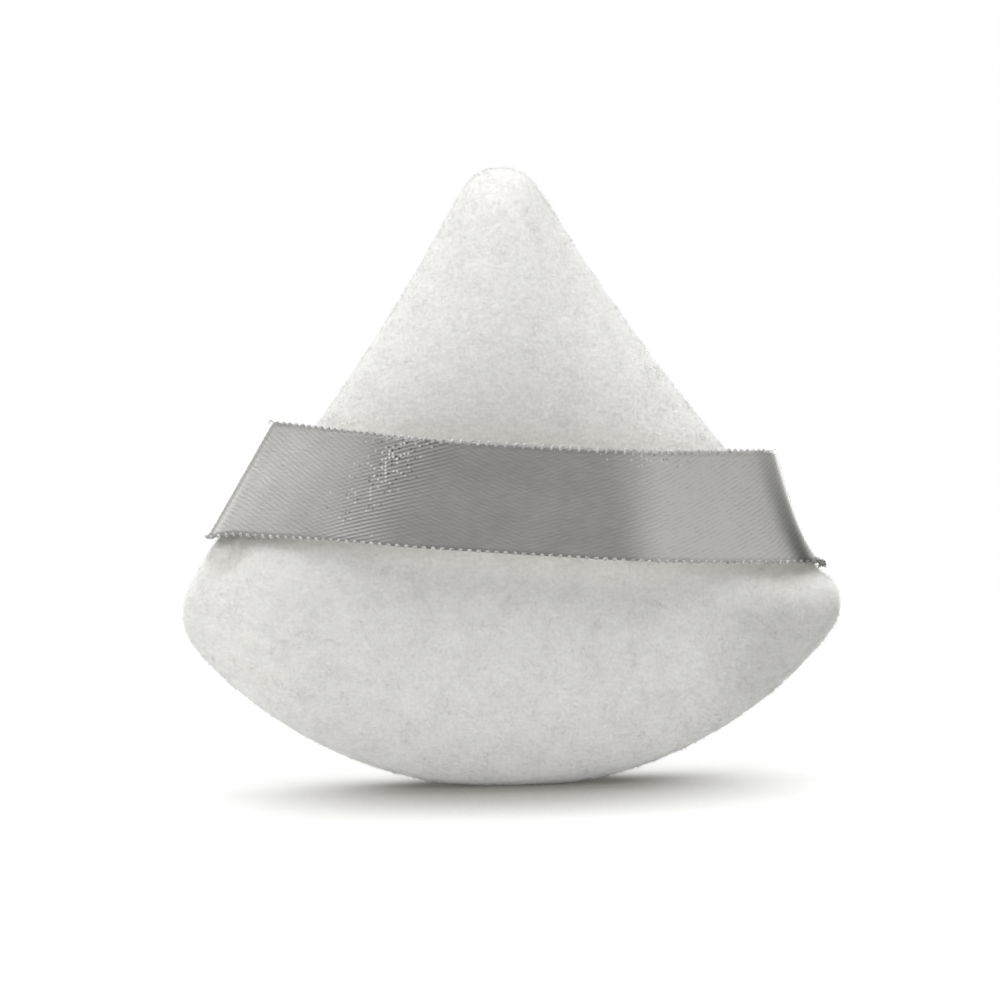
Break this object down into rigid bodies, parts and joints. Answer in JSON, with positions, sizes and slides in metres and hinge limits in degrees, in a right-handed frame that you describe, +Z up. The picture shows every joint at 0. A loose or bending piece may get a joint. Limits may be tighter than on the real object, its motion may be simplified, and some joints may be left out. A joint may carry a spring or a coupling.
{
  "type": "powder puff",
  "caption": "Cushioned triangular velour make-up puff that stands on its rounded edge, with a satin finger band across its front, caught in the side seams.",
  "frame": {"origin": "on the surface that the puff stands on, under the middle of its bounding box", "axes": "+X to the right as the band faces the viewer, -Y towards the viewer, +Z up to the pointed end"},
  "size_m": [0.07, 0.0286, 0.0655],
  "materials": {
    "velour": "off-white short-pile polyester velour, matt, with a soft sheen at grazing angles",
    "foam": "soft open-cell foam, matt cream",
    "satin": "warm silver-grey satin ribbon with a woven bead along each edge",
    "thread": "off-white spun sewing thread"
  },
  "bodies": {
    "root": {"front_cover": "velour", "back_cover": "velour", "foam_core": "foam", "satin_band": "satin", "needle_thread": "thread", "bobbin_thread": "thread", "closing_thread": "thread", "left_band_basting": "thread", "right_band_basting": "thread"}
  },
  "joints": []
}
